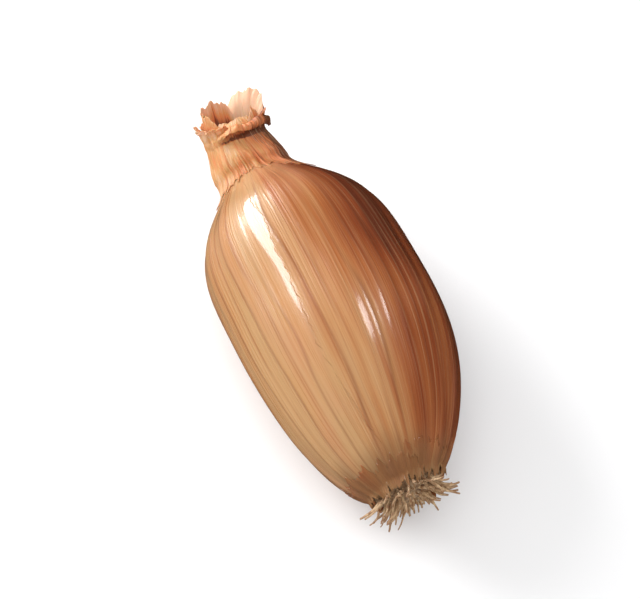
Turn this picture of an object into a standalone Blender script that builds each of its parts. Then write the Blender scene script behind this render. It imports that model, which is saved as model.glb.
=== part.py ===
"""A long shallot lying on its side: the bulb, the dried leaf sheaths at its neck, and its root plate.

Lengths are in metres and +Z is up. Every piece is first shaped straight, with the bulb's axis along +X from
the root end to the neck and x = 0 at its widest place. Then all of them are bent, tipped and lowered
together, so that the shallot rests on its flat spot, whose middle is the origin.
"""

import math
import random

import bmesh
import bpy
from mathutils import Matrix, Vector

# Bulb
BODY_RADIUS = 0.0125
ROOT_REACH = 0.0258
NECK_REACH = 0.0222
NECK_RADIUS = 0.0042
ROOT_ROUNDNESS = 2.05
SHOULDER_FULLNESS = 2.35
CORE_LENGTH = 0.0036
CORE_TIP_RADIUS = 0.0031

# Cross-section, as shares of the body's radius: the side it lies on is the flatter one
HALF_HEIGHT = 0.905
TOP_FULLNESS = 0.055

# Lopsidedness, waves of the outline, and the soft ribs that veins raise in the dry skin
LOPSIDEDNESS = 0.00030
OUTLINE_WAVE = 0.00015
RIB_COUNT = 17
RIB_HEIGHT = 0.00009

# Fits between the pieces
GAP = 0.00035
RECESS_RADIUS = 0.0046
RECESS_DEPTH = 0.0010

# Dried leaf sheaths
HUSK_WALL = 0.00070
SKIRT_REACH = 0.0024
SKIRT_RAGGEDNESS = 0.0012
PLEAT_COUNT = 9
PLEAT_HEIGHT = 0.00034
COLLAR_FOOT_RADIUS = CORE_TIP_RADIUS + GAP + HUSK_WALL / 2
COLLAR_LENGTH = 0.0054
COLLAR_RAGGEDNESS = 0.0007
COLLAR_CURL = math.radians(138)
HOLLOW_FLOOR_STEP = 4
BUD_HEIGHT = 0.0014
BUD_PROFILE = ((-0.0002, 0.0027), (0.0011, 0.0024), (0.0017, 0.0015))

# Root plate and dried roots
PLATE_THICKNESS = 0.0018
PLATE_DOME = 0.0008
ROOT_COUNT = 25
ROOT_SIDES = 5
ROOT_RADIUS = 0.00050
ROOT_LENGTH = 0.0040
ROOT_SINK = 0.0010
GOLDEN_ANGLE = math.pi * (3 - math.sqrt(5))

# How it lies
TIP_ANGLE = math.radians(-1.5)
SIDE_BEND = 0.0013
UP_BEND = 0.0007
NECK_BEND_START = NECK_REACH - 0.0030
NECK_BEND_RADIUS = 0.0150
FLAT_DEPTH = 0.00035

# Facets
BULB_SEGMENTS = 72
HUSK_SEGMENTS = 48
PLATE_SEGMENTS = 30


def clear_scene():
    for obj in list(bpy.data.objects):
        bpy.data.objects.remove(obj)


def skin_material(name, colour, roughness):
    material = bpy.data.materials.new(name)
    material.use_nodes = True
    shader = material.node_tree.nodes["Principled BSDF"]
    shader.inputs["Base Color"].default_value = (*colour, 1.0)
    shader.inputs["Roughness"].default_value = roughness
    return material


def body_radius(x):
    """Half width of the bulb at x: a tapered root end, a full shoulder, and a core up into the neck."""
    if x < 0:
        return BODY_RADIUS * math.sqrt(max(0.0, 1 - (-x / ROOT_REACH) ** ROOT_ROUNDNESS))
    if x < NECK_REACH:
        fall = math.cos(math.pi / 2 * (x / NECK_REACH) ** SHOULDER_FULLNESS) ** 2
        return NECK_RADIUS + (BODY_RADIUS - NECK_RADIUS) * fall
    return NECK_RADIUS + (CORE_TIP_RADIUS - NECK_RADIUS) * (x - NECK_REACH) / CORE_LENGTH


def relief(x, angle):
    """How far the surface stands out of the plain outline, less towards both ends."""
    share = body_radius(x) / BODY_RADIUS
    waves = math.cos(2 * angle + 1.0) + math.cos(3 * angle + 95 * x + 0.4)
    drift = 1.3 * math.sin(2 * angle + 0.8) + 45 * x
    ribs = 0.6 * math.cos(RIB_COUNT * angle + drift) + 0.4 * math.cos((RIB_COUNT - 6) * angle - drift)
    lopsided = LOPSIDEDNESS * share**2 * math.sin(130 * x) * math.cos(angle + 0.7)
    return lopsided + OUTLINE_WAVE * share**2 * waves + RIB_HEIGHT * min(1.0, 1.6 * share) * ribs


def on_body(x, angle):
    """Point on the bulb's surface; a quarter turn of the angle is the top."""
    radius = body_radius(x) + relief(x, angle)
    top = HALF_HEIGHT * math.sin(angle) + TOP_FULLNESS * math.sin(angle) ** 2
    return Vector((x, radius * math.cos(angle), radius * top))


def off_body(x, angle, distance):
    """Point at a distance outside the bulb's surface, square to it."""
    along = on_body(x + 0.0001, angle) - on_body(x - 0.0001, angle)
    around = on_body(x, angle + 0.01) - on_body(x, angle - 0.01)
    return on_body(x, angle) + around.cross(along).normalized() * distance


def turn(count):
    return [2 * math.pi * step / count for step in range(count)]


def closed_skin(name, first_pole, rings, last_pole):
    """Closed mesh through rings of points in order, with a fan round a pole at each end."""
    mesh = bmesh.new()
    start = mesh.verts.new(first_pole)
    loops = [[mesh.verts.new(point) for point in ring] for ring in rings]
    end = mesh.verts.new(last_pole)
    for step in range(len(rings[0])):
        after = (step + 1) % len(rings[0])
        mesh.faces.new((start, loops[0][step], loops[0][after]))
        mesh.faces.new((end, loops[-1][after], loops[-1][step]))
        for near, far in zip(loops, loops[1:]):
            mesh.faces.new((near[step], far[step], far[after], near[after]))
    bmesh.ops.recalc_face_normals(mesh, faces=mesh.faces)
    data = bpy.data.meshes.new(name)
    mesh.to_mesh(data)
    mesh.free()
    obj = bpy.data.objects.new(name, data)
    bpy.context.scene.collection.objects.link(obj)
    return obj


def unite(base, pieces):
    """Joins the pieces to base with one Boolean union, then removes them."""
    group = bpy.data.collections.new(base.name + "_pieces")
    bpy.context.scene.collection.children.link(group)
    for piece in pieces:
        bpy.context.scene.collection.objects.unlink(piece)
        group.objects.link(piece)
    union = base.modifiers.new("union", "BOOLEAN")
    union.operation = "UNION"
    union.operand_type = "COLLECTION"
    union.collection = group
    union.solver = "EXACT"
    graph = bpy.context.evaluated_depsgraph_get()
    joined = bpy.data.meshes.new_from_object(base.evaluated_get(graph))
    base.modifiers.clear()
    base.data = joined
    for piece in pieces:
        bpy.data.objects.remove(piece)
    bpy.data.collections.remove(group)


def rim_x():
    """Where the bulb's root end stops, at the lip round the recess."""
    lip = (RECESS_RADIUS + 0.0005) / BODY_RADIUS
    return -ROOT_REACH * (1 - lip**2) ** (1 / ROOT_ROUNDNESS)


def round_ring(x, radius, count):
    return [Vector((x, radius * math.cos(angle), radius * math.sin(angle))) for angle in turn(count)]


def make_bulb():
    """The bulb in its dry skin, with the core of its neck and the recess that the root plate sits in."""
    end = math.asin(-rim_x() / ROOT_REACH)
    root_side = [-ROOT_REACH * math.sin(end * (1 - step / 17)) for step in range(17)]
    neck_side = [NECK_REACH * step / 20 for step in range(20)]
    core = [NECK_REACH + CORE_LENGTH * step / 3 for step in range(4)]
    floor_x = rim_x() + RECESS_DEPTH
    rings = [round_ring(floor_x, RECESS_RADIUS - 0.0002, BULB_SEGMENTS)]
    rings += [round_ring(rim_x(), RECESS_RADIUS, BULB_SEGMENTS)]
    rings += [[on_body(x, angle) for angle in turn(BULB_SEGMENTS)] for x in root_side + neck_side + core]
    return closed_skin("bulb", Vector((floor_x, 0, 0)), rings, Vector((core[-1] + 0.0005, 0, 0)))


def skirt_edge(angle):
    """How far down the shoulder the sheaths reach, which is uneven because they have torn."""
    torn = math.cos(3 * angle + 0.5) + 0.6 * math.cos(7 * angle + 2.0) + 0.4 * math.cos(11 * angle)
    return NECK_REACH - SKIRT_REACH - SKIRT_RAGGEDNESS * torn / 2


def pleats(angle):
    return PLEAT_HEIGHT * (math.cos(PLEAT_COUNT * angle) + 0.5 * math.cos(5 * angle + 1.0)) / 1.5


def sleeve_ring(share, outward):
    """Ring round the neck, from the skirt's edge at share 0 to the tip of the bulb's core at share 1."""
    ring = []
    for angle in turn(HUSK_SEGMENTS):
        edge = skirt_edge(angle)
        x = edge + (NECK_REACH + CORE_LENGTH - edge) * share
        fold = pleats(angle) * min(1.0, 2 * share) if outward > GAP else 0.0
        ring.append(off_body(x, angle, outward + fold))
    return ring


def collar_profile(angle, steps):
    """Middle line of the torn collar at one angle, as (x, radius, slope) from its foot to its rim."""
    torn = 0.75 * math.cos(5 * angle + 0.3) + 0.5 * math.cos(8 * angle + 1.7) - math.sin(angle)
    length = COLLAR_LENGTH + COLLAR_RAGGEDNESS * torn
    flare = (0.5 + 0.5 * math.cos(2 * angle - 2.9)) ** 1.3 * (0.72 + 0.28 * math.sin(angle))
    curl = COLLAR_CURL * flare * (0.85 + 0.15 * math.cos(5 * angle)) - math.radians(14)
    x = NECK_REACH + CORE_LENGTH
    radius = COLLAR_FOOT_RADIUS + pleats(angle)
    places = []
    for step in range(steps + 1):
        along = step / steps
        slope = 0.16 + curl * along**2.2
        if step:
            x += length / steps * math.cos(slope)
            radius += length / steps * math.sin(slope)
        places.append((x, radius, slope))
    return places


def collar_ring(profiles, step, side):
    """Ring of the collar at one step of its profiles, on its outer (side 1) or inner (side -1) face."""
    ring = []
    for angle, profile in zip(turn(HUSK_SEGMENTS), profiles):
        x, radius, slope = profile[step]
        x -= side * HUSK_WALL / 2 * math.sin(slope)
        radius += side * HUSK_WALL / 2 * math.cos(slope)
        ring.append(Vector((x, radius * math.cos(angle), radius * math.sin(angle))))
    return ring


def bud_ring(x, radius):
    """Ring round the folded inner sheaths that stand in the collar's mouth."""
    ring = []
    for angle in turn(HUSK_SEGMENTS):
        folded = radius * (1 + 0.16 * math.cos(3 * angle + 0.8) + 0.08 * math.cos(7 * angle))
        uneven = 0.0004 * math.cos(2 * angle - 1.0)
        ring.append(Vector((x + uneven, folded * math.cos(angle), folded * math.sin(angle))))
    return ring


def make_husk():
    """The dried leaf sheaths: a skirt over shoulder and core, and a torn collar round a folded bud."""
    steps = 9
    profiles = [collar_profile(angle, steps) for angle in turn(HUSK_SEGMENTS)]
    inner = [sleeve_ring(1 - step / 8, GAP) for step in range(9)]
    outer = [sleeve_ring(step / 8, GAP + HUSK_WALL) for step in range(8)]
    collar = [collar_ring(profiles, step, 1) for step in range(1, steps + 1)]
    mouth = [collar_ring(profiles, step, -1) for step in range(steps, HOLLOW_FLOOR_STEP - 1, -1)]
    tip = NECK_REACH + CORE_LENGTH + 0.0005 + GAP
    foot = sum(profile[HOLLOW_FLOOR_STEP][0] for profile in profiles) / len(profiles)
    bud = [bud_ring(foot + height, radius) for height, radius in BUD_PROFILE]
    top = Vector((foot + BUD_HEIGHT, 0, 0))
    return closed_skin("neck_husk", Vector((tip, 0, 0)), inner + outer + collar + mouth + bud, top)


def make_plate():
    """The corky disc in the recess, domed outwards."""
    inside = rim_x() + RECESS_DEPTH - GAP
    outside = inside - PLATE_THICKNESS
    radius = RECESS_RADIUS - GAP
    profile = [(inside, radius - 0.0004), (inside - 0.0004, radius), (outside + 0.0004, radius - 0.0001)]
    profile += [(outside, radius - 0.0007), (outside - 0.6 * PLATE_DOME, 0.5 * radius)]
    rings = [round_ring(x, reach, PLATE_SEGMENTS) for x, reach in profile]
    return closed_skin("root_plate", Vector((inside, 0, 0)), rings, Vector((outside - PLATE_DOME, 0, 0)))


def make_root(number, rng):
    """One dried root, bent away from the plate's middle and tapered."""
    spread = math.sqrt((number + 0.5) / ROOT_COUNT)
    around = number * GOLDEN_ANGLE
    away = Vector((0, math.cos(around), math.sin(around)))
    sideways = Vector((0, -math.sin(around), math.cos(around)))
    top = rim_x() + RECESS_DEPTH - GAP - PLATE_THICKNESS + ROOT_SINK
    place = Vector((top, 0, 0)) + away * (spread * 0.0031)
    lean = 0.10 + 0.45 * spread + rng.uniform(-0.08, 0.15)
    bend = rng.uniform(0.3, 1.1)
    sway = rng.uniform(-0.5, 0.5)
    steps = 5
    length = ROOT_SINK + ROOT_LENGTH * rng.uniform(0.55, 1.0)
    rings = []
    for step in range(steps + 1):
        along = step / steps
        slope = lean + bend * along**1.5
        heading = away * math.sin(slope) + sideways * sway * along - Vector((math.cos(slope), 0, 0))
        heading.normalize()
        across = heading.cross(sideways).normalized()
        up = heading.cross(across)
        radius = ROOT_RADIUS * (1 - 0.35 * along)
        rings.append([place + radius * (across * math.cos(a) + up * math.sin(a)) for a in turn(ROOT_SIDES)])
        if step < steps:
            place = place + heading * (length / steps)
    return closed_skin("root", rings[0][0].lerp(rings[0][2], 0.5), rings, place + heading * ROOT_RADIUS * 0.5)


def make_root_plate():
    rng = random.Random(7)
    plate = make_plate()
    unite(plate, [make_root(number, rng) for number in range(ROOT_COUNT)])
    return plate


def neck_raised(point):
    """Bends what lies beyond the shoulder upwards along an arc."""
    beyond = point.x - NECK_BEND_START
    if beyond <= 0:
        return point
    arc = beyond / NECK_BEND_RADIUS
    reach = NECK_BEND_RADIUS - point.z
    height = NECK_BEND_RADIUS - reach * math.cos(arc)
    return Vector((NECK_BEND_START + reach * math.sin(arc), point.y, height))


def tipped(point):
    """A point of the straight shallot once its axis is bent and it has tipped as it rests."""
    along = point.x / NECK_REACH
    bent = neck_raised(point) + Vector((0, SIDE_BEND, UP_BEND)) * along**2
    return Matrix.Rotation(TIP_ANGLE, 3, "Y") @ bent


def lay_down(pieces, bulb):
    """Tips every piece, levels the bulb's underside into its flat spot, and brings that to the origin."""
    for piece in pieces:
        for vertex in piece.data.vertices:
            vertex.co = tipped(vertex.co)
    floor = min(vertex.co.z for vertex in bulb.data.vertices) + FLAT_DEPTH
    flat = [vertex for vertex in bulb.data.vertices if vertex.co.z < floor]
    for vertex in flat:
        vertex.co.z = floor
    middle = sum((vertex.co for vertex in flat), Vector()) / len(flat)
    for piece in pieces:
        for vertex in piece.data.vertices:
            vertex.co -= middle


def dress(obj, material):
    obj.data.materials.clear()
    obj.data.materials.append(material)
    obj.data.shade_smooth()
    obj.data.set_sharp_from_angle(angle=math.radians(50))


clear_scene()
bulb = make_bulb()
husk = make_husk()
root_plate = make_root_plate()
lay_down([bulb, husk, root_plate], bulb)
dress(bulb, skin_material("dry_copper_skin", (0.48, 0.20, 0.07), 0.35))
dress(husk, skin_material("dried_sheath", (0.66, 0.37, 0.19), 0.7))
dress(root_plate, skin_material("corky_root", (0.42, 0.30, 0.20), 0.85))
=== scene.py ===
import math
import random

import bpy
from mathutils import Matrix, Vector, noise


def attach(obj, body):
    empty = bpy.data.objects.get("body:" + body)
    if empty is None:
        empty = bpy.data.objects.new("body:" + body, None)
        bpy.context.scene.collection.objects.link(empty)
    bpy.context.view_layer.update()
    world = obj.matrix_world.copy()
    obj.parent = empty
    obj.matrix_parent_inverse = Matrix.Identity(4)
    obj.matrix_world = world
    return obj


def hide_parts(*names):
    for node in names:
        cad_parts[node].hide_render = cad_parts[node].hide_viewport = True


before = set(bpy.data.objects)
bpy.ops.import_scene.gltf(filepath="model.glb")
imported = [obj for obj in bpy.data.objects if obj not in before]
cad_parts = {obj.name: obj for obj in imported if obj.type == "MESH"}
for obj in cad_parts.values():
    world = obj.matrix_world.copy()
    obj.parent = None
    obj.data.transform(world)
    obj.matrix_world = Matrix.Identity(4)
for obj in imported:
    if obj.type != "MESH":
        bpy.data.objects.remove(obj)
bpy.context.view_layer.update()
print("frame loaded:", ", ".join(sorted(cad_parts)))

# the shallot's form in metres, straight along +X from its root end to its neck
form = {
    "radius": 0.0125,            # half width at its widest
    "rootReach": 0.0258,
    "neckReach": 0.0222,
    "neckRadius": 0.0042,
    "rootRoundness": 2.05,
    "shoulderFullness": 2.35,
    "coreLength": 0.0036,        # living core that runs up inside the dried neck
    "coreTipRadius": 0.0031,
    "halfHeight": 0.905,         # share of the radius: the shallot is a little flat
    "topFullness": 0.055,
    "lopsidedness": 0.00030,
    "lopsidedTurn": 130,         # radians a metre along the bulb, as the two turns below
    "wave": 0.00015,
    "waveTurn": 95,
    "ribCount": 17,
    "widerRibCount": 11,
    "ribHeight": 0.00009,
    "ribTurn": 45,
    "ribSway": 1.3,
    "recessRadius": 0.0046,
    "recessLip": 0.0005,
    "recessDepth": 0.0010,
}

# how it lies: bent a little, tipped, and moved so that its flat spot is at the origin
lie = {
    "tip": math.radians(-1.5),
    "sideBend": 0.0013,
    "upBend": 0.0007,
    "neckBendStart": 0.0192,
    "neckBendRadius": 0.0150,
    "restShift": Vector((0.00109373, -0.00001654, -0.01010890)),
}


def bodyRadius(x):
    if x < 0:
        return form["radius"] * math.sqrt(max(0.0, 1 - (-x / form["rootReach"]) ** form["rootRoundness"]))
    if x < form["neckReach"]:
        fall = math.cos(math.pi / 2 * (x / form["neckReach"]) ** form["shoulderFullness"]) ** 2
        return form["neckRadius"] + (form["radius"] - form["neckRadius"]) * fall
    along = (x - form["neckReach"]) / form["coreLength"]
    return form["neckRadius"] + (form["coreTipRadius"] - form["neckRadius"]) * along


def relief(x, angle):
    # how far the body stands off its turned form: lopsided, in slow waves and in ribs
    share = bodyRadius(x) / form["radius"]
    lopsided = form["lopsidedness"] * share**2 * math.sin(form["lopsidedTurn"] * x) * math.cos(angle + 0.7)
    waves = math.cos(2 * angle + 1.0) + math.cos(3 * angle + form["waveTurn"] * x + 0.4)
    drift = form["ribSway"] * math.sin(2 * angle + 0.8) + form["ribTurn"] * x
    ribs = 0.6 * math.cos(form["ribCount"] * angle + drift)
    ribs += 0.4 * math.cos(form["widerRibCount"] * angle - drift)
    return lopsided + form["wave"] * share**2 * waves + form["ribHeight"] * min(1.0, 1.6 * share) * ribs


def onBody(x, angle):
    radius = bodyRadius(x) + relief(x, angle)
    top = form["halfHeight"] * math.sin(angle) + form["topFullness"] * math.sin(angle) ** 2
    return Vector((x, radius * math.cos(angle), radius * top))


def offBody(x, angle, distance):
    stepAlong, stepRound = 0.0001, 0.01             # metres and radians to the points that give the slope
    along = onBody(x + stepAlong, angle) - onBody(x - stepAlong, angle)
    around = onBody(x, angle + stepRound) - onBody(x, angle - stepRound)
    return onBody(x, angle) + around.cross(along).normalized() * distance


def layDown(point):
    beyond = point.x - lie["neckBendStart"]
    bent = point.copy()
    if beyond > 0:                                  # the dried neck lifts along an arc
        arc = beyond / lie["neckBendRadius"]
        reach = lie["neckBendRadius"] - point.z
        bent.x = lie["neckBendStart"] + reach * math.sin(arc)
        bent.z = lie["neckBendRadius"] - reach * math.cos(arc)
    along = point.x / form["neckReach"]
    bent += Vector((0, lie["sideBend"], lie["upBend"])) * along**2
    return Matrix.Rotation(lie["tip"], 3, "Y") @ bent - lie["restShift"]


def aboveFloor(point):
    point.z = max(point.z, 0.0)                     # the flat spot that it rests on
    return point


def rimRadius():
    return form["recessRadius"] + form["recessLip"]


def rimX():
    # where the skin ends, at the lip of the recess that holds the root plate
    lip = rimRadius() / form["radius"]
    return -form["rootReach"] * (1 - lip**2) ** (1 / form["rootRoundness"])


def smooth(low, high, value):
    share = min(1.0, max(0.0, (value - low) / (high - low)))
    return share * share * (3 - 2 * share)


def blend(a, b, share):
    return a + (b - a) * share


def angleFrom(angle, middle):
    return (angle - middle + math.pi) % (2 * math.pi) - math.pi


def hump(off, width):
    return math.exp(-(off / width) ** 2)


def ripple(x, y, z=0.0):
    return noise.noise(Vector((x, y, z)))


def tear(angle, seed, fray=1.0):
    # how unevenly dry skin tears off round an edge
    coarse = 0.9 * ripple(angle * 3, seed, 2)
    middling = 0.5 * ripple(angle * 9, seed, 6)
    fine = 0.3 * fray * ripple(angle * 31, seed, 9)
    return coarse + middling + fine


# one mesh that is filled strip by strip, with what the materials need to know at each point
class Sheet:
    def __init__(self):
        self.points = []
        self.faces = []
        self.grains = []
        self.veins = []
        self.tones = []

    def point(self, place, grain, vein=0.0, tone=0.5):
        self.points.append(place)
        self.grains.append(grain)
        self.veins.append(vein)
        self.tones.append(tone)

    def rows(self, rows, closed):
        first = len(self.points)
        count = len(rows[0])
        for row in rows:
            for corner in row:
                self.point(*corner)
        for i in range(len(rows) - 1):
            for j in range(count if closed else count - 1):
                k = (j + 1) % count
                near = first + i * count
                self.faces.append((near + j, near + k, near + count + k, near + count + j))
        return first

    def fan(self, firstOfRing, count, pole, flipped):
        self.point(*pole)
        middle = len(self.points) - 1
        for j in range(count):
            a, b = firstOfRing + j, firstOfRing + (j + 1) % count
            self.faces.append((middle, a, b) if flipped else (middle, b, a))

    def capped(self, rings, firstGrain, lastGrain):
        # rings, closed at each end by triangles that meet in the middle of the last ring
        count = len(rings[0])
        first = self.rows(rings, True)
        poles = [sum((corner[0] for corner in ring), Vector()) / count for ring in (rings[0], rings[-1])]
        self.fan(first, count, (poles[0], firstGrain), False)
        self.fan(first + (len(rings) - 1) * count, count, (poles[1], lastGrain), True)

    def make(self, name, material, nodeName, slotName, thickness=0.0):
        mesh = bpy.data.meshes.new(name)
        mesh.from_pydata(self.points, [], self.faces)
        flat = [value for grain in self.grains for value in grain]
        mesh.attributes.new("grain", "FLOAT_VECTOR", "POINT").data.foreach_set("vector", flat)
        mesh.attributes.new("vein", "FLOAT", "POINT").data.foreach_set("value", self.veins)
        mesh.attributes.new("tone", "FLOAT", "POINT").data.foreach_set("value", self.tones)
        mesh.shade_smooth()
        mesh.materials.append(material)
        piece = bpy.data.objects.new(name, mesh)
        bpy.context.scene.collection.objects.link(piece)
        if thickness:
            solid = piece.modifiers.new("thickness", "SOLIDIFY")
            solid.thickness = thickness
            solid.offset = 0
        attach(piece, "root")
        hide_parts(nodeName)
        return piece


# a socket that can be written in sums
class Value:
    def __init__(self, paint, socket):
        self.paint = paint
        self.socket = socket

    def maths(self, operation, first, second):
        return self.paint.add("ShaderNodeMath", {"operation": operation}, {0: first, 1: second})

    def __add__(self, other):
        return self.maths("ADD", self, other)

    def __sub__(self, other):
        return self.maths("SUBTRACT", self, other)

    def __rsub__(self, other):
        return self.maths("SUBTRACT", other, self)

    def __mul__(self, other):
        return self.maths("MULTIPLY", self, other)

    __radd__ = __add__
    __rmul__ = __mul__


class Paint:
    def __init__(self, name):
        self.material = bpy.data.materials.new(name)
        self.material.use_nodes = True
        self.tree = self.material.node_tree
        self.shader = self.tree.nodes["Principled BSDF"]

    def add(self, kind, settings=None, values=None, out=0):
        node = self.tree.nodes.new(kind)
        for setting, value in (settings or {}).items():
            if setting == "stops":
                self.setStops(node.color_ramp, value)
            else:
                setattr(node, setting, value)
        for socket, value in (values or {}).items():
            self.feed(node.inputs[socket], value)
        return Value(self, node.outputs[out])

    def setStops(self, ramp, stops):
        while len(ramp.elements) < len(stops):
            ramp.elements.new(1.0)
        for element, (place, colour) in zip(ramp.elements, stops):
            element.position = place
            element.color = (*colour, 1.0)

    def feed(self, socket, value):
        if isinstance(value, Value):
            self.tree.links.new(value.socket, socket)
        elif isinstance(value, tuple) and len(value) == 3 and socket.type == "RGBA":
            socket.default_value = (*value, 1.0)
        else:
            socket.default_value = value

    def finish(self, **sockets):
        for name, value in sockets.items():
            self.feed(self.shader.inputs[name.replace("_", " ")], value)
        return self.material

    def grain(self):
        return self.add("ShaderNodeAttribute", {"attribute_name": "grain"}, out="Vector")

    def stored(self, name):
        return self.add("ShaderNodeAttribute", {"attribute_name": name}, out="Fac")

    def split(self, vector, axis):
        return self.add("ShaderNodeSeparateXYZ", None, {0: vector}, out=axis)

    def stretched(self, vector, scale):
        return self.add("ShaderNodeVectorMath", {"operation": "MULTIPLY"}, {0: vector, 1: scale})

    def moved(self, vector, offset):
        return self.add("ShaderNodeVectorMath", {"operation": "ADD"}, {0: vector, 1: offset})

    def speckle(self, vector, scale=1.0, detail=2.0, roughness=0.5, distortion=0.0):
        return self.add("ShaderNodeTexNoise", {"noise_dimensions": "3D"},
                        {"Vector": vector, "Scale": scale, "Detail": detail, "Roughness": roughness,
                         "Distortion": distortion})

    def ramp(self, value, stops):
        return self.add("ShaderNodeValToRGB", {"stops": stops}, {0: value})

    def mask(self, value, low, high):
        return self.add("ShaderNodeMapRange", {"interpolation_type": "SMOOTHSTEP"},
                        {"Value": value, "From Min": low, "From Max": high})

    def mix(self, share, first, second):
        return self.add("ShaderNodeMix", {"data_type": "RGBA"}, {0: share, 6: first, 7: second}, out=2)

    def bump(self, height, distance):
        return self.add("ShaderNodeBump", None, {"Height": height, "Distance": distance})


# the glossy skin, whose tone is 0 on the red-brown side and 1 on the khaki side; the red-brown side is
# partly the skin's own colour and partly painted shade on the side away from the light
bulbSkin = {
    "umber": (0.110, 0.022, 0.008),
    "rust": (0.235, 0.050, 0.014),
    "copper": (0.370, 0.112, 0.032),
    "gold": (0.470, 0.218, 0.084),
    "khaki": (0.475, 0.270, 0.122),
    "straw": (0.580, 0.355, 0.180),
    "rose": (0.480, 0.190, 0.120),
    "vein": (0.170, 0.040, 0.013),
    "rootShade": (0.220, 0.105, 0.042),
    "patchShare": 0.85,          # how far broad patches and long streaks move the tone
    "streakShare": 0.60,
    "strawShare": 0.26,          # how strongly each colour lies over the ones before it
    "rustShare": 0.32,
    "veinShare": 0.45,
    "roseShare": 0.22,
    "speckShare": 0.25,
    "neckShare": 0.40,
    "rootShare": 0.75,
    "roughness": 0.24,
    "specular": 0.15,
    "coatRoughness": 0.14,
    "bumpHeight": 0.00008,
}


def makeBulbSkin(name, duller, coat):
    paint, skin = Paint(name), bulbSkin
    grain = paint.grain()
    along = paint.split(grain, "Z")
    tone = paint.stored("tone")
    veins = paint.stored("vein")
    wander = paint.speckle(paint.stretched(grain, (2.0, 2.0, 1.6)), detail=1.0)
    patches = paint.speckle(paint.stretched(grain, (1.6, 1.6, 0.6)), scale=1.3, detail=2.0)
    streaks = paint.speckle(paint.stretched(grain, (7.0, 7.0, 0.35)), scale=1.5, detail=3.0, roughness=0.55)
    fine = paint.speckle(paint.stretched(grain, (34.0, 34.0, 0.6)), scale=1.6, detail=3.0, roughness=0.6)
    specks = paint.speckle(paint.stretched(grain, (26.0, 26.0, 14.0)), scale=1.5, detail=2.0)
    blush = paint.speckle(paint.moved(paint.stretched(grain, (1.2, 1.2, 0.8)), (7.0, 3.0, 1.0)), scale=1.4)

    shade = tone + (patches - 0.5) * skin["patchShare"] + (streaks - 0.5) * skin["streakShare"]
    colour = paint.ramp(shade, [(0.02, skin["umber"]), (0.20, skin["rust"]), (0.42, skin["copper"]),
                                (0.64, skin["gold"]), (0.90, skin["khaki"])])
    colour = paint.mix(paint.mask(fine, 0.50, 0.74) * skin["strawShare"], colour, skin["straw"])
    colour = paint.mix(paint.mask(fine, 0.46, 0.28) * skin["rustShare"], colour, skin["rust"])
    colour = paint.mix(veins * skin["veinShare"], colour, skin["vein"])
    colour = paint.mix(paint.mask(blush, 0.50, 0.68) * skin["roseShare"], colour, skin["rose"])
    colour = paint.mix(paint.mask(specks, 0.72, 0.82) * skin["speckShare"], colour, skin["umber"])
    # paler up the neck, dull and brown round the root plate
    paler = paint.mask(along + (wander - 0.5) * 0.35, 0.70, 1.05) * paint.mask(tone, 0.30, 0.60)
    colour = paint.mix(paler * skin["neckShare"], colour, skin["straw"])
    browner = paint.mask(along + (wander - 0.5) * 0.25, -0.88, -1.08)
    colour = paint.mix(browner * skin["rootShare"], colour, skin["rootShade"])

    gloss = skin["roughness"] + duller + paint.mask(fine, 0.35, 0.75) * 0.10
    gloss = gloss + paint.mask(patches, 0.35, 0.70) * 0.08 + paint.mask(along, -0.8, -1.05) * 0.3
    height = paint.mask(fine, 0.30, 0.75) * 0.35 + streaks * 0.5
    return paint.finish(Base_Color=colour, Roughness=gloss, Normal=paint.bump(height, skin["bumpHeight"]),
                        Specular_IOR_Level=skin["specular"], Coat_Weight=coat,
                        Coat_Roughness=skin["coatRoughness"], Subsurface_Weight=0.05,
                        Subsurface_Scale=0.0015)


# the papery neck, whose tone is 0 where it is brown and 1 where it is pale; part of the brown is painted
# shade in hollows, creases and on the side away from the light
drySheath = {
    "brown": (0.150, 0.040, 0.012),
    "orange": (0.620, 0.185, 0.062),
    "tan": (0.600, 0.275, 0.095),
    "peach": (0.700, 0.410, 0.260),
    "fibre": (0.740, 0.520, 0.330),
    "thinEdge": (0.400, 0.150, 0.050),
    "patchShare": 0.45,          # how far patches and streaks move the tone
    "streakShare": 0.75,
    "fibreShare": 0.30,          # how strongly each colour lies over the ones before it
    "brownShare": 0.50,
    "thinShare": 0.60,
    "roughness": 0.50,
    "specular": 0.25,
    "coat": 0.03,
    "coatRoughness": 0.25,
    "bumpHeight": 0.00010,
}


def makeDrySheath():
    paint, dry = Paint("dried_sheath_paint"), drySheath
    grain = paint.grain()
    tone = paint.stored("tone")
    thin = paint.stored("vein")                     # 1 at the torn edge on the shoulder, 0 further up
    patches = paint.speckle(paint.stretched(grain, (2.2, 2.2, 1.0)), scale=1.4, roughness=0.6,
                            distortion=1.2)
    streaks = paint.speckle(paint.stretched(grain, (9.0, 9.0, 0.7)), scale=1.5, detail=4.0, roughness=0.6,
                            distortion=0.35)
    fibres = paint.speckle(paint.stretched(grain, (30.0, 30.0, 0.9)), scale=1.5, detail=2.0)
    shade = tone + (patches - 0.5) * dry["patchShare"] + (streaks - 0.5) * dry["streakShare"]
    colour = paint.ramp(shade, [(0.08, dry["brown"]), (0.32, dry["orange"]), (0.55, dry["tan"]),
                                (0.82, dry["peach"])])
    colour = paint.mix(paint.mask(fibres, 0.54, 0.72) * dry["fibreShare"], colour, dry["fibre"])
    colour = paint.mix(paint.mask(streaks, 0.42, 0.28) * dry["brownShare"], colour, dry["brown"])
    colour = paint.mix(thin * dry["thinShare"], colour, dry["thinEdge"])
    height = streaks * 0.7 + fibres * 0.5
    return paint.finish(Base_Color=colour, Roughness=dry["roughness"] + fibres * 0.2,
                        Normal=paint.bump(height, dry["bumpHeight"]), Specular_IOR_Level=dry["specular"],
                        Coat_Weight=dry["coat"], Coat_Roughness=dry["coatRoughness"],
                        Subsurface_Weight=0.15, Subsurface_Scale=0.0012)


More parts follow.
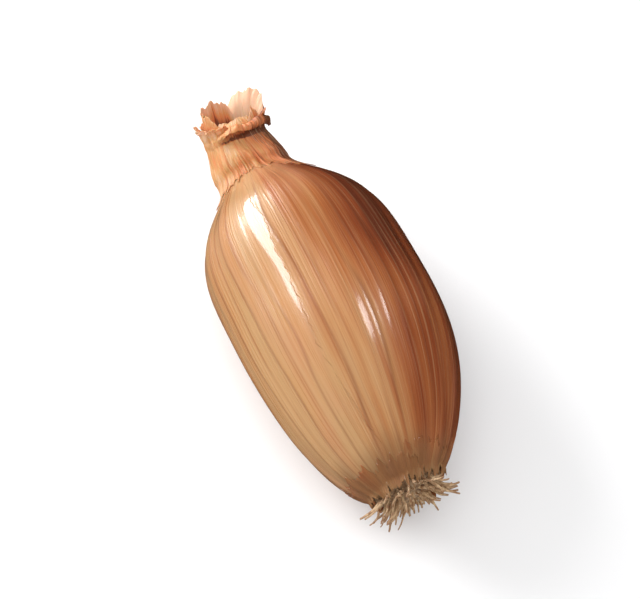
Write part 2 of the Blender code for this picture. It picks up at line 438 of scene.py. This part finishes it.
# the cork of the root plate and the skin of its roots
corkRoot = {
    "bark": (0.30, 0.175, 0.090),
    "dust": (0.52, 0.380, 0.240),
    "crack": (0.08, 0.040, 0.020),
    "dustShare": 0.5,
    "corkRoughness": 0.88,
    "corkBumpHeight": 0.0003,
    "rootPale": (0.62, 0.435, 0.250),
    "rootBrown": (0.26, 0.120, 0.050),
    "brownTip": 0.6,             # how much browner a root gets towards its tip
    "rootRoughness": 0.80,
    "rootBumpHeight": 0.00005,
}


def makeCork():
    paint, cork = Paint("root_cork_paint"), corkRoot
    grain = paint.grain()
    lumps = paint.speckle(grain, scale=3.2, detail=4.0, roughness=0.65)
    grit = paint.speckle(grain, scale=14.0, detail=3.0, roughness=0.7)
    colour = paint.ramp(lumps, [(0.34, cork["crack"]), (0.50, cork["bark"]), (0.70, cork["dust"])])
    colour = paint.mix(paint.mask(grit, 0.52, 0.70) * cork["dustShare"], colour, cork["dust"])
    return paint.finish(Base_Color=colour, Roughness=cork["corkRoughness"],
                        Normal=paint.bump(lumps + grit * 0.4, cork["corkBumpHeight"]))


def makeRootPaint():
    paint, cork = Paint("dried_root_paint"), corkRoot
    grain = paint.grain()
    along = paint.split(grain, "Z")
    mottle = paint.speckle(paint.stretched(grain, (1.0, 1.0, 3.0)), scale=2.0, detail=3.0, roughness=0.6)
    rings = paint.speckle(paint.stretched(grain, (0.6, 0.6, 16.0)), scale=2.0, detail=1.0)
    colour = paint.ramp(mottle, [(0.35, cork["rootBrown"]), (0.62, cork["rootPale"])])
    colour = paint.mix(paint.mask(along, 0.7, 1.0) * cork["brownTip"], colour, cork["rootBrown"])
    return paint.finish(Base_Color=colour, Roughness=cork["rootRoughness"],
                        Normal=paint.bump(rings + mottle, cork["rootBumpHeight"]))


bulbPaint = makeBulbSkin("bulb_skin_paint", duller=0.0, coat=0.60)
outerPaint = makeBulbSkin("outer_skin_paint", duller=0.05, coat=0.48)
sheathPaint = makeDrySheath()
corkPaint = makeCork()
rootPaint = makeRootPaint()
print("materials made")


# the bulb, in its inner skin
bulb = {
    "around": 480,
    "rootRows": 86,
    "neckRows": 94,
    "neckEnd": 0.6,              # share of the core that it covers
    "veinCount": 41,
    "veinHeight": 0.00003,
    "grainHeight": 0.00002,
    "dentDepth": 0.00018,
    "pleatHeight": 0.00009,
    "paleLitSide": math.radians(20),       # the side where the skin is palest and lit; the far side is partly painted shade
    "toneMiddle": 0.53,
    "toneAndShadeSwing": 0.34,
    "toneWander": 0.10,
    "shadedBrownPatch": math.radians(130),      # down one side of the shoulder: brown skin deepened with painted shade
    "shadedBrownPatchWidth": 0.40,
    "shadedBrownPatchDepth": 0.34,
    # angle, width and height of the ridges that the layers beneath raise
    "keels": ((3.55, 0.16, 0.00022), (5.75, 0.12, 0.00018), (1.66, 0.11, 0.00009), (2.30, 0.13, 0.00016)),
    # where the skin rolls into the recess: how far along the bulb and how far inwards each ring lies
    "rimRoll": ((0.0009, 0.0010), (0.0007, 0.0005), (0.0003, 0.00018)),
}


def skinGrain(x, angle):
    return (math.cos(angle), math.sin(angle), x / form["neckReach"])


def skinTone(x, angle):
    # round the bulb the tone swings from khaki to red-brown: partly the skin's own colour, partly painted
    # shade on the side away from the light
    tone = bulb["toneMiddle"] + bulb["toneAndShadeSwing"] * math.cos(angle - bulb["paleLitSide"])
    tone += bulb["toneWander"] * ripple(math.cos(angle), math.sin(angle), x * 60)
    # brown skin and painted shade down one side of the shoulder, strongest towards the neck
    brownAndShade = bulb["shadedBrownPatchDepth"] * hump(angleFrom(angle, bulb["shadedBrownPatch"]), bulb["shadedBrownPatchWidth"])
    return tone - brownAndShade * smooth(-0.30, 0.25, x / form["neckReach"])


def veinAt(x, angle):
    c, s, along = skinGrain(x, angle)
    sway = 0.9 * ripple(c * 2, s * 2, along * 1.3 + 30) + 0.5 * ripple(c * 6, s * 6, along * 2.5 + 40)
    main = (0.5 + 0.5 * math.cos(bulb["veinCount"] * angle + 3 * sway)) ** 7
    side = (0.5 + 0.5 * math.cos((2 * bulb["veinCount"] + 5) * angle - 4 * sway)) ** 9
    mainShare = smooth(-0.25, 0.35, ripple(c * 9, s * 9, along * 0.9 + 50))
    sideShare = smooth(0.0, 0.4, ripple(c * 13, s * 13, along * 1.4 + 60))
    return min(1.0, main * (0.25 + 0.75 * mainShare) + 0.6 * side * sideShare)


def skinRelief(x, angle):
    c, s, along = skinGrain(x, angle)
    lines = ripple(c * 11, s * 11, along * 0.8 + 3) + 0.6 * ripple(c * 24, s * 24, along * 1.2 + 9)
    dents = ripple(c * 1.8, s * 1.8, along * 1.7 + 5) - 0.25
    drift = 1.5 * ripple(c * 1.5, s * 1.5, along * 2.0 + 20)
    nearNeck = smooth(0.62, 1.02, along)
    nearRoot = smooth(-0.72, -1.06, along)
    folds = math.cos(21 * angle + drift) * 0.6 + math.cos(34 * angle - 2 * drift) * 0.4
    height = bulb["grainHeight"] * lines * (1 + nearNeck) + bulb["dentDepth"] * dents * (1 - 0.6 * nearNeck)
    height += bulb["veinHeight"] * veinAt(x, angle)
    height += bulb["pleatHeight"] * folds * (nearNeck + 0.8 * nearRoot)
    for place, width, rise in bulb["keels"]:
        off = angleFrom(angle, place + 0.25 * along)
        height += rise * hump(off, width) * (1 - smooth(0.3, 0.95, abs(along)))
    return height


def makeBulb():
    turn = [2 * math.pi * j / bulb["around"] for j in range(bulb["around"])]
    end = math.asin(-rimX() / form["rootReach"])
    xs = [-form["rootReach"] * math.sin(end * (1 - i / bulb["rootRows"])) for i in range(bulb["rootRows"])]
    last = form["neckReach"] + bulb["neckEnd"] * form["coreLength"]
    xs += [last * i / bulb["neckRows"] for i in range(bulb["neckRows"] + 1)]
    rings = []
    for depth, inward in bulb["rimRoll"]:
        ring = []
        for a in turn:
            edge = onBody(rimX(), a) * (1 - inward / rimRadius())
            edge.x = rimX() + depth
            ring.append((layDown(edge), skinGrain(rimX() - depth, a), 0.0, skinTone(rimX(), a)))
        rings.append(ring)
    for x in xs:
        rings.append([(aboveFloor(layDown(offBody(x, a, skinRelief(x, a)))), skinGrain(x, a),
                       veinAt(x, a), skinTone(x, a)) for a in turn])
    sheet = Sheet()
    sheet.capped(rings, (0, 0, -1.1), (0, 0, 1.2))
    return sheet.make("shallot_bulb", bulbPaint, "bulb", "bulb_skin")


bulbPiece = makeBulb()
print("bulb made:", len(bulbPiece.data.polygons), "faces")


# what is left of the outermost skin: a thin copper layer with a torn edge along the bulb
outerSkin = {
    "firstAngle": math.radians(66),
    "lastAngle": math.radians(214),
    "start": -0.0226,            # where it starts and ends along the bulb
    "end": 0.0208,
    "rows": 180,
    "columns": 230,
    "seed": 3.1,
    "thickness": 0.00004,
    "cling": 0.00005,
    "edgeLift": 0.00014,
    "edgeWidth": 0.0008,
    "raggedness": 0.0024,
    "tornShare": 0.22,           # share of its width and length that follows the torn edges
    "darker": 0.08,
}


def tornSide(x, seed):
    # radians by which a torn side strays round the bulb
    slow = 0.20 * ripple(x * 70, seed) + 0.07 * ripple(x * 260, seed, 4)
    return slow + 0.025 * ripple(x * 900, seed, 8) + 0.010 * ripple(x * 2600, seed, 9)


def makeOuterSkin():
    skin, seed, rows = outerSkin, outerSkin["seed"], []
    length, span = skin["end"] - skin["start"], skin["lastAngle"] - skin["firstAngle"]
    for i in range(skin["rows"] + 1):
        share = i / skin["rows"]
        atStart = max(0.0, 1 - share / skin["tornShare"]) ** 2
        row = []
        for j in range(skin["columns"] + 1):
            across = j / skin["columns"]
            middle = blend(skin["firstAngle"], skin["lastAngle"], across)
            x = blend(skin["start"], skin["end"], share)
            x += skin["raggedness"] * tear(middle, seed + 20) * atStart
            atFirst = max(0.0, 1 - across / skin["tornShare"]) ** 2
            atLast = max(0.0, 1 - (1 - across) / skin["tornShare"]) ** 2
            a = middle + tornSide(x, seed) * atFirst + tornSide(x, seed + 5) * atLast
            # the loose edges lift a little, here and there
            fromSide = min(across, 1 - across) * bodyRadius(x) * span / skin["edgeWidth"]
            fromStart = share * length / skin["edgeWidth"]
            loose = max(math.exp(-fromSide), math.exp(-fromStart))
            loose *= smooth(-0.10, 0.50, ripple(a * 2, x * 160, seed))
            off = skinRelief(x, a) + skin["cling"] + skin["edgeLift"] * loose
            place = aboveFloor(layDown(offBody(x, a, off)))
            row.append((place, skinGrain(x, a), veinAt(x, a), skinTone(x, a) - skin["darker"]))
        rows.append(row)
    sheet = Sheet()
    sheet.rows(rows, False)
    return sheet.make("outer_skin", outerPaint, "bulb", "bulb_skin", skin["thickness"])


makeOuterSkin()
print("outer skin made")


# ragged tips of skin round the root plate
rootFringe = {
    "columns": 460,
    "bodyRows": 9,
    "freeRows": 12,
    "overlap": 0.0019,
    "length": 0.0014,
    "shortest": 0.0002,
    "raggedness": 0.0014,
    "cling": 0.00005,
    "lift": 0.00008,             # how far it stands off in places
    "rimCling": 0.00006,
    "curl": math.radians(18),    # slope of the free tips towards the middle
    "curlSpread": math.radians(50),
    "tone": 0.35,
    "tipPaler": 0.4,
    "thickness": 0.00006,
}


def makeRootFringe():
    fringe, edge, probe = rootFringe, rimX(), 0.0003
    rows = [[] for i in range(fringe["bodyRows"] + fringe["freeRows"] + 1)]
    for j in range(fringe["columns"]):
        a = 2 * math.pi * j / fringe["columns"]
        c, s = math.cos(a), math.sin(a)
        torn = ripple(c * 5, s * 5, 3) + 0.8 * ripple(c * 14, s * 14, 5) + 0.5 * ripple(c * 40, s * 40, 7)
        length = max(fringe["shortest"], fringe["length"] + fringe["raggedness"] * torn)
        curl = fringe["curl"] + fringe["curlSpread"] * ripple(c * 4, s * 4, 11)
        overlap = fringe["overlap"] * (1 + 0.9 * ripple(c * 9, s * 9, 15) + 0.4 * ripple(c * 30, s * 30, 17))
        # the slope of the bulb at its rim, which the free tips carry on
        rim, further = offBody(edge, a, 0.0), offBody(edge + probe, a, 0.0)
        slope = math.atan2(math.hypot(*further.yz) - math.hypot(*rim.yz), probe)
        for i in range(fringe["bodyRows"]):
            x = edge + overlap * (1 - i / fringe["bodyRows"])
            lift = fringe["lift"] * max(0.0, ripple(c * 12, s * 12, 19))
            place = layDown(offBody(x, a, skinRelief(x, a) + fringe["cling"] + lift))
            rows[i].append((place, skinGrain(x, a), veinAt(x, a), fringe["tone"]))
        start = offBody(edge, a, skinRelief(edge, a) + fringe["rimCling"])
        x, radius = start.x, math.hypot(start.y, start.z)
        around = math.atan2(start.z, start.y)
        for i in range(fringe["freeRows"] + 1):
            share = i / fringe["freeRows"]
            place = layDown(Vector((x, radius * math.cos(around), radius * math.sin(around))))
            tone = fringe["tone"] + fringe["tipPaler"] * share
            rows[fringe["bodyRows"] + i].append((place, skinGrain(x, a), 0.0, tone))
            turned = blend(slope, curl, smooth(0.0, 0.45, share))
            x -= length / fringe["freeRows"] * math.cos(turned)
            radius -= length / fringe["freeRows"] * math.sin(turned)
    sheet = Sheet()
    sheet.rows(rows, True)
    return sheet.make("root_end_fringe", outerPaint, "bulb", "bulb_skin", fringe["thickness"])


makeRootFringe()
print("root fringe made")


# the dried neck: outer sheaths that reach down the shoulder, and an inner cup, most of it with pale tips and
# painted shade, brown to near black, deep in its hollow
neck = {
    "columns": 108,
    "sleeveRows": 30,
    "freeRows": 42,
    "thickness": 0.00009,
    "sleeveOff": 0.00092,
    "cling": 0.00005,
    "deepestLayer": 0.00024,     # layer of a sheath that would lie under all the others
    "skirtReach": 0.0030,
    "skirtRaggedness": 0.0034,
    "skirtLift": 0.00018,
    "pleatCount": 9,
    "pleatHeight": 0.00026,
    "fibreHeight": 0.00012,
    "crumple": 0.00012,
    "reliefStart": 0.0022,       # how far before the foot of the core the pleats start
    "reliefFull": 0.0010,        # how far beyond it they are full
    "coarseCrumple": (0.00005, 0.00023),     # of the free part, at its foot and at its tip
    "fineCrumple": (0.00002, 0.00008),
    "crumpleShade": 500,
    "sleeveMottle": 0.16,
    "litSheathSide": math.radians(5),
    "sideToneAndShade": 0.38,           # how much paler the outer sheaths are there, and browner opposite: partly their own colour, partly painted shade on the side away from the light
    "creaseShade": 0.55,
    "creaseAt": 0.08,            # share of the free length
    "creaseWidth": 0.14,
    "sideLean": 0.26,            # how far the free tips lean to one side
    "leanFrom": 0.001,
    "innerDrop": 0.0006,         # how far below the core's tip the inner sheaths start
    "innerPleat": 0.5,
    "narrowest": 0.0002,         # radius at which a tip that curls inwards stops
    # angles in degrees, lengths in metres; lean is the slope at the foot and curl the slope at the tip,
    # and layer is how deep a sheath lies under the outermost one
    "outer": (
        {"middle": 318, "half": 58, "length": 0.0032, "lean": 6, "curl": 34, "curlFrom": 0.45, "taper": 0.30,
         "layer": 0.00022, "tone": 0.30, "tipTone": 0.45, "paleFrom": 0.2, "ragged": 0.16, "crumple": 0.8,
         "crease": 0.0, "seed": 5.3},
        {"middle": 255, "half": 62, "length": 0.0036, "lean": 8, "curl": 46, "curlFrom": 0.40, "taper": 0.30,
         "layer": 0.00012, "tone": 0.50, "tipTone": 0.60, "paleFrom": 0.2, "ragged": 0.20, "crumple": 1.0,
         "crease": 0.0, "seed": 4.1},
        {"middle": 188, "half": 52, "length": 0.0032, "lean": 5, "curl": 55, "curlFrom": 0.45, "taper": 0.30,
         "layer": 0.00016, "tone": 0.36, "tipTone": 0.50, "paleFrom": 0.2, "ragged": 0.24, "crumple": 1.0,
         "crease": 0.0, "seed": 3.7},
        {"middle": 22, "half": 56, "length": 0.0028, "lean": 4, "curl": 42, "curlFrom": 0.42, "taper": 0.35,
         "layer": 0.00008, "tone": 0.18, "tipTone": 0.34, "paleFrom": 0.2, "ragged": 0.16, "crumple": 0.8,
         "crease": 0.0, "seed": 2.9},
        {"middle": 112, "half": 60, "length": 0.0042, "lean": -10, "curl": 215, "curlFrom": 0.20,
         "taper": 0.45, "layer": 0.00000, "tone": 0.39, "tipTone": 0.32, "paleFrom": 0.2, "ragged": 0.10,
         "crumple": 0.7, "crease": 1.0, "seed": 1.3},
    ),
    # the inner cup's brown feet, and its short sheath all round that stays near black, are painted shade in
    # the hollow of the neck
    "inner": (
        {"middle": 226, "half": 43, "length": 0.0062, "lean": 4, "curl": 50, "curlFrom": 0.50, "taper": 0.42,
         "radius": 0.00345, "tone": 0.55, "tipTone": 0.98, "paleFrom": 0.1, "ragged": 0.05, "crumple": 0.25,
         "crease": 0.0, "seed": 11.2},
        {"middle": 304, "half": 50, "length": 0.0057, "lean": 3, "curl": 6, "curlFrom": 0.50, "taper": 0.34,
         "radius": 0.00340, "tone": -0.15, "tipTone": 0.80, "paleFrom": 0.42, "ragged": 0.06, "crumple": 0.4,
         "crease": 0.0, "seed": 12.6},
        {"middle": 160, "half": 46, "length": 0.0042, "lean": 0, "curl": -22, "curlFrom": 0.50,
         "taper": 0.30, "radius": 0.00330, "tone": 0.10, "tipTone": 0.66, "paleFrom": 0.4, "ragged": 0.08,
         "crumple": 0.6, "crease": 0.0, "seed": 13.9},
        {"middle": 84, "half": 60, "length": 0.0042, "lean": 2, "curl": -52, "curlFrom": 0.35, "taper": 0.20,
         "radius": 0.00335, "tone": 0.30, "tipTone": 0.62, "paleFrom": 0.3, "ragged": 0.05, "crumple": 0.6,
         "crease": 0.0, "seed": 14.4},
        {"middle": 356, "half": 54, "length": 0.0053, "lean": 4, "curl": -6, "curlFrom": 0.45, "taper": 0.45,
         "radius": 0.00340, "tone": 0.10, "tipTone": 0.62, "paleFrom": 0.4, "ragged": 0.07, "crumple": 0.5,
         "crease": 0.0, "seed": 15.8},
        {"middle": 40, "half": 175, "length": 0.0026, "lean": -15, "curl": -80, "curlFrom": 0.10,
         "taper": 0.0, "radius": 0.00290, "tone": -0.30, "tipTone": -0.15, "paleFrom": 0.5, "ragged": 0.10,
         "crumple": 1.0, "crease": 0.0, "seed": 16.1},
    ),
}


def skirtEdge(angle, seed):
    torn = math.cos(3 * angle + 0.5) + 0.6 * math.cos(7 * angle + 2.0)
    torn = 0.3 * torn + 0.9 * ripple(angle * 4, seed) + 1.1 * ripple(angle * 11, seed, 4)
    torn += 0.9 * ripple(angle * 26, seed, 8)
    return form["neckReach"] - neck["skirtReach"] - neck["skirtRaggedness"] * torn / 2


def pleat(angle):
    waves = math.cos(neck["pleatCount"] * angle) + 0.5 * math.cos(5 * angle + 1.0)
    return neck["pleatHeight"] * waves / 1.5


def sleeveRelief(x, angle):
    # the same for all the sheaths, which lie on each other here
    swayed = angle + 0.12 * ripple(angle * 2, x * 260, 5)
    fibres = ripple(swayed * 12, x * 80, 21) + 0.8 * ripple(swayed * 29, x * 120, 23)
    crumple = ripple(angle * 5 + x * 330, x * 240, 25)
    height = pleat(swayed) + neck["fibreHeight"] * fibres + neck["crumple"] * crumple
    start, full = form["neckReach"] - neck["reliefStart"], form["neckReach"] + neck["reliefFull"]
    return height * smooth(start, full, x)


def sleeveColumn(sheath, angle):
    # from the torn edge on the shoulder up to the tip of the core
    seed, column = sheath["seed"], []
    edge = skirtEdge(angle, seed)
    tip = form["neckReach"] + form["coreLength"]
    raised = neck["skirtLift"] * smooth(0.10, 0.5, ripple(angle * 6, seed, 1))
    above = 0.2 * (neck["deepestLayer"] - sheath["layer"])
    for i in range(neck["sleeveRows"]):
        share = i / neck["sleeveRows"]
        x = blend(edge, tip, share)
        low = neck["cling"] + above + raised * (1 - smooth(0, 0.25, share))
        off = blend(low, neck["sleeveOff"] - sheath["layer"], smooth(0.02, 0.62, share))
        off += skinRelief(x, angle) * (1 - smooth(0.3, 0.7, share)) + sleeveRelief(x, angle)
        mottle = neck["sleeveMottle"] * ripple(angle * 4 + x * 250, x * 180, seed + 6)
        grain = (math.cos(angle), math.sin(angle), seed + share)
        column.append((offBody(x, angle, off), grain, 1 - smooth(0, 0.35, share), sheath["tone"] + mottle))
    return column


def freeColumn(sheath, angle, across, start):
    # beyond the core, where the sheath stands free and curls
    seed, steps, column = sheath["seed"], neck["freeRows"], []
    corner = 1 - sheath["taper"] * abs(across) ** 4
    length = sheath["length"] * corner * (1 + sheath["ragged"] * 2 * tear(angle, seed, sheath["crumple"]))
    curlShare = 1 + 0.30 * ripple(angle * 2.2, seed, 12)
    lean, curl = math.radians(sheath["lean"]), math.radians(sheath["curl"]) * curlShare
    x, radius = start.x, math.hypot(start.y, start.z)
    foot = math.atan2(start.z, start.y)
    for step in range(steps + 1):
        along = step / steps
        slope = blend(lean, curl, smooth(sheath["curlFrom"], 1.06, along))
        slope += 0.18 * along * ripple(angle * 3, along * 3, seed + 3)
        crumple = blend(*neck["coarseCrumple"], along) * ripple(angle * 5 + along, along * 4, seed + 4)
        crumple += blend(*neck["fineCrumple"], along) * ripple(angle * 15, along * 6, seed + 5)
        crumple *= sheath["crumple"]
        spotX, spotRadius = x - crumple * math.sin(slope), radius + crumple * math.cos(slope)
        beyond = max(0.0, spotX - start.x)
        sideways = neck["sideLean"] * beyond**2 / (beyond + neck["leanFrom"])
        place = Vector((spotX, spotRadius * math.cos(foot) - sideways, spotRadius * math.sin(foot)))
        tone = blend(sheath["tone"], sheath["tipTone"], smooth(sheath["paleFrom"], 1.0, along))
        # painted light and shade: the tone is lighter on the ridges of the crumples, and darker in their
        # hollows and in the crease under the rolled lip
        crease = sheath["crease"] * hump(along - neck["creaseAt"], neck["creaseWidth"])
        tone += neck["crumpleShade"] * crumple - neck["creaseShade"] * crease
        column.append((place, (math.cos(angle), math.sin(angle), seed + 1 + along), 0.0, tone))
        x += length / steps * math.cos(slope)
        radius = max(neck["narrowest"], radius + length / steps * math.sin(slope))
    return column


def addSheath(sheet, sheath, withSleeve):
    columns = []
    tip = form["neckReach"] + form["coreLength"]
    for j in range(neck["columns"] + 1):
        across = 2 * j / neck["columns"] - 1
        angle = math.radians(sheath["middle"] + sheath["half"] * across)
        if withSleeve:
            start = offBody(tip, angle, neck["sleeveOff"] - sheath["layer"] + sleeveRelief(tip, angle))
            column = sleeveColumn(sheath, angle) + freeColumn(sheath, angle, across, start)
            # paler on the lit side and browner opposite: partly the sheaths' own colour, partly painted
            # shade
            paler = neck["sideToneAndShade"] * math.cos(angle - neck["litSheathSide"])
        else:
            radius = sheath["radius"] + neck["innerPleat"] * sheath["crumple"] * pleat(angle)
            start = Vector((tip - neck["innerDrop"], radius * math.cos(angle), radius * math.sin(angle)))
            column = freeColumn(sheath, angle, across, start)
            paler = 0.0
        columns.append([(layDown(place), grain, thin, tone + paler)
                        for place, grain, thin, tone in column])
    sheet.rows([[column[i] for column in columns] for i in range(len(columns[0]))], False)


def makeNeck():
    outer, inner = Sheet(), Sheet()
    for sheath in neck["outer"]:
        addSheath(outer, sheath, True)
    for sheath in neck["inner"]:
        addSheath(inner, sheath, False)
    outer.make("neck_sheaths", sheathPaint, "neck_husk", "dried_sheath", neck["thickness"])
    inner.make("neck_inner_sheaths", sheathPaint, "neck_husk", "dried_sheath", neck["thickness"])


makeNeck()
print("neck made")


# the corky plate at the base, and its dried roots
roots = {
    "discAround": 120,
    "discRows": 26,
    "thickness": 0.0018,
    "dome": 0.0008,
    "gap": 0.00035,
    "bevel": 0.0003,
    "sideBevel": 0.0004,
    "draft": 0.0001,             # how much narrower it is in front
    "lumpHeight": 0.00022,
    "smallLumpHeight": 0.00012,
    "smoothRim": 0.0005,         # width over which the lumps rise from the edge
    "grainScale": 333,
    "count": 78,
    "sides": 7,
    "steps": 12,
    "sunk": 0.0004,              # how deep in the plate the roots start
    "radius": 0.00019,
    "length": 0.0042,
    "spread": 0.0034,
    "seed": 21,
}


def discBack():
    return rimX() + form["recessDepth"] - roots["gap"]


def makeDisc():
    back, reach = discBack(), form["recessRadius"] - roots["gap"]
    front, flat = back - roots["thickness"], reach - roots["bevel"]
    profile = [(back, reach * 0.4), (back, flat), (back - roots["sideBevel"], reach)]
    profile.append((front + roots["sideBevel"], reach - roots["draft"]))
    for i in range(1, roots["discRows"]):
        share = i / roots["discRows"]
        dome = (roots["dome"] + roots["bevel"]) * math.sin(share * math.pi / 2)
        profile.append((front + roots["bevel"] - dome, flat * (1 - share)))
    rings, scale = [], roots["grainScale"]
    for x, radius in reversed(profile):
        ring = []
        for j in range(roots["discAround"]):
            angle = 2 * math.pi * j / roots["discAround"]
            y, z = radius * math.cos(angle), radius * math.sin(angle)
            lumps = roots["lumpHeight"] * ripple(y * 900, z * 900, 3)
            lumps += roots["smallLumpHeight"] * ripple(y * 2200, z * 2200, 8)
            place = Vector((x - lumps * min(1.0, (reach - radius) / roots["smoothRim"]), y, z))
            ring.append((layDown(place), (y * scale, z * scale, x * scale)))
        rings.append(ring)
    sheet = Sheet()
    sheet.capped(rings, (0, 0, front * scale), (0, 0, 0))
    return sheet.make("root_disc", corkPaint, "root_plate", "corky_root")


def makeRoots():
    rng = random.Random(roots["seed"])
    sheet = Sheet()
    base = discBack() - roots["thickness"] + roots["sunk"]
    sides, steps = roots["sides"], roots["steps"]
    turn = [2 * math.pi * j / sides for j in range(sides)]
    for number in range(roots["count"]):
        spread = math.sqrt((number + 0.5) / roots["count"])
        around = number * math.pi * (3 - math.sqrt(5)) + rng.uniform(-0.2, 0.2)
        away = Vector((0, math.cos(around), math.sin(around)))
        sideways = Vector((0, -math.sin(around), math.cos(around)))
        place = Vector((base, 0, 0)) + away * spread * roots["spread"]
        lean = 0.10 + 0.50 * spread + rng.uniform(-0.10, 0.25)
        bend = rng.uniform(0.1, 1.2)
        sway = rng.uniform(-0.7, 0.7)
        length = roots["length"] * rng.uniform(0.45, 1.0)
        thick = roots["radius"] * rng.uniform(0.7, 1.35)
        rows = []
        for step in range(steps + 1):
            along = step / steps
            slope = lean + bend * along**1.4 + 0.5 * ripple(along * 3, number)
            heading = away * math.sin(slope) - Vector((math.cos(slope), 0, 0))
            aside = sway * along + 0.6 * ripple(along * 3, number, 7)
            heading = (heading + sideways * aside).normalized()
            across = heading.cross(sideways).normalized()
            up = heading.cross(across)
            radius = thick * (1.25 - 0.75 * along) * (1 + 0.15 * ripple(along * 12, number, 3))
            rows.append([(layDown(place + radius * (across * math.cos(a) + up * math.sin(a))),
                          (number * 1.7 + math.cos(a) * 0.2, math.sin(a) * 0.2, along)) for a in turn])
            centre = place.copy()
            place = place + heading * length / steps
        first = sheet.rows(rows, True)
        foot = sum((corner[0] for corner in rows[0]), Vector()) / sides
        tip = layDown(centre + heading * radius * 0.6)
        sheet.fan(first + steps * sides, sides, (tip, (number * 1.7, 0, 1)), True)
        sheet.fan(first, sides, (foot, (number * 1.7, 0, 0)), False)
    return sheet.make("dried_roots", rootPaint, "root_plate", "corky_root")


makeDisc()
makeRoots()
print("root plate made")


# floor, light and camera
studio = {
    "floorHalf": 1.5,
    "floorColour": (0.88, 0.88, 0.885),
    "floorRoughness": 0.7,
    "floorSpecular": 0.2,
    "skyColour": (1.0, 1.0, 1.0),
    "skyStrength": 0.70,
    "focalLength": 85.0,
    "azimuth": 246.0,
    "elevation": 62.0,
    "distance": 0.186,
    "lookAt": Vector((0.0015, 0.0006, 0.0095)),
    # name, directions of the two ends of its long side, distance, width, watts, what it acts on
    "lights": (
        ("shoulderStrip", (0.97, 0.21, 0.09), (0.34, 0.63, 0.70), 0.40, 0.180, 3.90, "gloss"),
        ("shoulderFill", (0.96, 0.24, 0.13), (0.41, 0.62, 0.67), 0.40, 0.180, 1.40, "colour"),
        ("flankSoftbox", (0.22, -0.37, 0.88), (-0.02, -0.37, 0.93), 0.40, 0.075, 0.45, "gloss"),
        ("topSoftbox", (0.25, -0.05, 1.00), (-0.65, 0.05, 0.90), 0.80, 0.800, 2.30, "colour"),
    ),
}


def makeFloor():
    half = studio["floorHalf"]
    corners = [(-half, -half, 0), (half, -half, 0), (half, half, 0), (-half, half, 0)]
    mesh = bpy.data.meshes.new("floor")
    mesh.from_pydata(corners, [], [(0, 1, 2, 3)])
    floor = bpy.data.objects.new("floor", mesh)
    bpy.context.scene.collection.objects.link(floor)
    mesh.materials.append(Paint("floor_paint").finish(
        Base_Color=studio["floorColour"], Roughness=studio["floorRoughness"],
        Specular_IOR_Level=studio["floorSpecular"]))
    floor.visible_glossy = False                    # its reflection would haze the dark side of the skin


def makeLights():
    for name, oneEnd, otherEnd, distance, width, watts, actsOn in studio["lights"]:
        first, second = Vector(oneEnd).normalized() * distance, Vector(otherEnd).normalized() * distance
        back = (first + second).normalized()
        across = (second - first).cross(back).normalized()
        light = bpy.data.lights.new(name, "AREA")
        light.shape = "ELLIPSE"
        light.size, light.size_y = width, (second - first).length
        light.energy = watts
        lamp = bpy.data.objects.new(name, light)
        lamp.location = (first + second) / 2
        lamp.rotation_euler = Matrix((across, back.cross(across), back)).transposed().to_euler()
        lamp.visible_camera = False
        lamp.visible_glossy = actsOn != "colour"
        lamp.visible_diffuse = actsOn != "gloss"
        bpy.context.scene.collection.objects.link(lamp)
    world = bpy.data.worlds.new("studio")
    world.use_nodes = True
    background = world.node_tree.nodes["Background"]
    background.inputs["Color"].default_value = (*studio["skyColour"], 1.0)
    background.inputs["Strength"].default_value = studio["skyStrength"]
    world.cycles_visibility.glossy = False          # the soft fill, which would only haze the gloss
    bpy.context.scene.world = world


def makeCamera():
    camera = bpy.data.objects.new("camera", bpy.data.cameras.new("camera"))
    bpy.context.scene.collection.objects.link(camera)
    a, e = math.radians(studio["azimuth"]), math.radians(studio["elevation"])
    back = Vector((math.sin(a) * math.cos(e), -math.cos(a) * math.cos(e), math.sin(e)))
    camera.location = studio["lookAt"] + back * studio["distance"]
    camera.rotation_euler = (-back).to_track_quat("-Z", "Y").to_euler()
    camera.data.lens = studio["focalLength"]
    camera.data.clip_start, camera.data.clip_end = 0.01, 10
    bpy.context.scene.camera = camera


makeFloor()
makeLights()
makeCamera()
bpy.context.scene.view_settings.view_transform = "Standard"
print("studio made")
